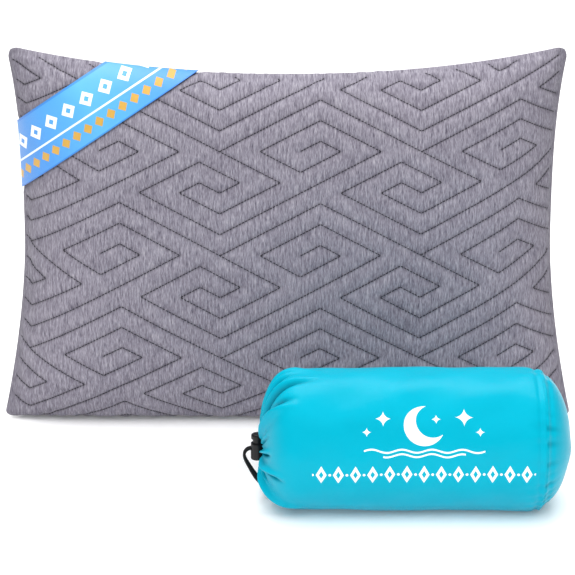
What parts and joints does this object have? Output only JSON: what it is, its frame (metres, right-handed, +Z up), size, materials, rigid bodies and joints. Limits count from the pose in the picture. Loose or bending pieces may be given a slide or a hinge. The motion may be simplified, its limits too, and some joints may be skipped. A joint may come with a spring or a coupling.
{
  "type": "camp pillow",
  "caption": "Quilted camp pillow standing on one long edge, with a full drawstring stuff sack, cord lock, zip and corner sash.",
  "frame": {"origin": "on the floor, at the middle of the flat foot that the pillow stands on", "axes": "+X to the right along the pillow's long edge, +Y away from the front, +Z up"},
  "size_m": [0.472, 0.3114, 0.3115],
  "materials": {
    "quilted_knit": "matte",
    "liner_cloth": "matte",
    "foam": "matte",
    "zip_tape": "matte",
    "zip_coil": "satin",
    "zip_metal": "satin",
    "label_satin": "satin",
    "sash_ribbon": "satin",
    "sack_nylon": "satin",
    "packed_cloth": "matte",
    "drawcord": "matte",
    "lock_plastic": "gloss",
    "spring_steel": "satin"
  },
  "bodies": {
    "pillow": {"cover_front_panel": "quilted_knit", "cover_back_panel": "quilted_knit", "inner_liner": "liner_cloth", "foam_fill": "foam", "zip_tape_upper": "zip_tape", "zip_tape_lower": "zip_tape", "zip_coil_upper": "zip_coil", "zip_coil_lower": "zip_coil", "zip_stop_closed_end": "zip_metal", "zip_stop_open_end": "zip_metal", "care_label": "label_satin"},
    "zip_slider": {"zip_slider_body": "zip_metal"},
    "zip_pull": {"zip_pull_ring": "zip_metal", "zip_pull_tab": "zip_metal"},
    "sash": {"corner_sash": "sash_ribbon"},
    "sack": {"sack_tube": "sack_nylon", "sack_end_disc": "sack_nylon", "sack_hem": "sack_nylon", "packed_roll": "packed_cloth", "drawcord_in_hem": "drawcord"},
    "cord_lock": {"lock_barrel": "lock_plastic", "lock_spring": "spring_steel", "drawcord_strand_front": "drawcord", "drawcord_strand_back": "drawcord", "drawcord_knot": "drawcord"},
    "lock_button": {"lock_plunger": "lock_plastic"}
  },
  "joints": [
    {"name": "zip_run", "type": "slide", "parent": "pillow", "child": "zip_slider", "axis": [1, 0, 0], "range_m": [0, 0.224]},
    {"name": "zip_pull_swing", "type": "hinge", "parent": "zip_slider", "child": "zip_pull", "pos_m": [-0.112, 0.05752, 0.05654], "axis": [1, 0, 0], "range_deg": [-8, 150]},
    {"name": "sash_slip", "type": "slide", "parent": "pillow", "child": "sash", "axis": [-0.5494, 0, 0.8356], "range_m": [0, 0.12]},
    {"name": "sack_move", "type": "slide", "parent": "pillow", "child": "sack", "axis": [0, -1, 0], "range_m": [0, 0.15]},
    {"name": "lock_run", "type": "slide", "parent": "sack", "child": "cord_lock", "axis": [-1, 0, 0], "range_m": [0, 0.025]},
    {"name": "lock_press", "type": "slide", "parent": "cord_lock", "child": "lock_button", "axis": [0, 0, -1], "range_m": [0, 0.0032], "stiffness_N_per_m": 500, "springref_m": -0.003, "deforming": ["lock_spring"]}
  ]
}
